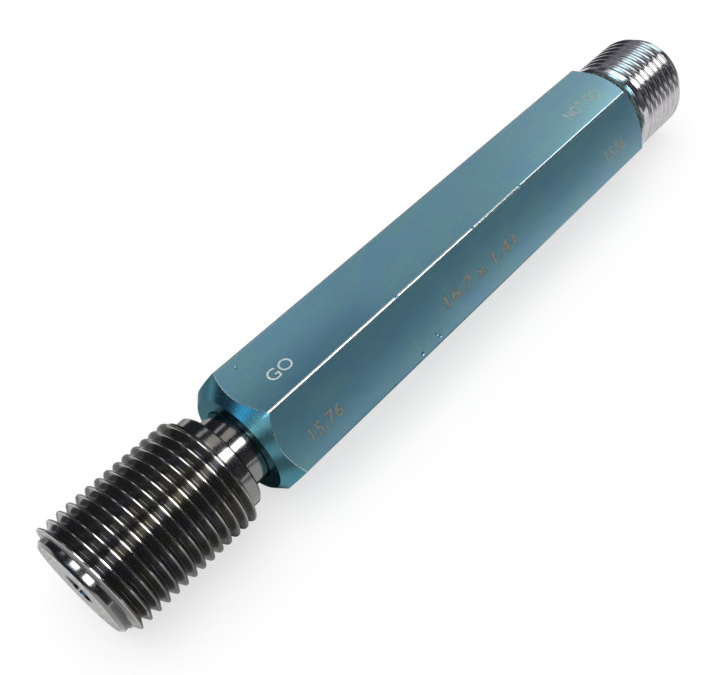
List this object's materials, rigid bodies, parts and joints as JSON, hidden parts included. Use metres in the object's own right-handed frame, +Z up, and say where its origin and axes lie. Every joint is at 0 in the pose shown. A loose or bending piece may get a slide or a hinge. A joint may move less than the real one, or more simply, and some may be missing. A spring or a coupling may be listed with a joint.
{
  "type": "thread plug gauge",
  "caption": "Double-ended thread plug gauge: hexagonal handle with a long GO screw plug and a short NOT GO screw plug locked in its ends by tapers.",
  "frame": {"origin": "centre of the handle's lower flat, on the surface that the gauge lies on", "axes": "+X along the gauge's axis from the GO end to the NOT GO end, +Z up out of the opposite flat"},
  "size_m": [0.1239, 0.0196, 0.017],
  "materials": {
    "anodised_handle": "teal-blue anodised, satin",
    "gauge_steel": "hardened and ground, bright"
  },
  "bodies": {
    "root": {"handle": "anodised_handle", "go_plug": "gauge_steel", "not_go_plug": "gauge_steel"}
  },
  "joints": []
}
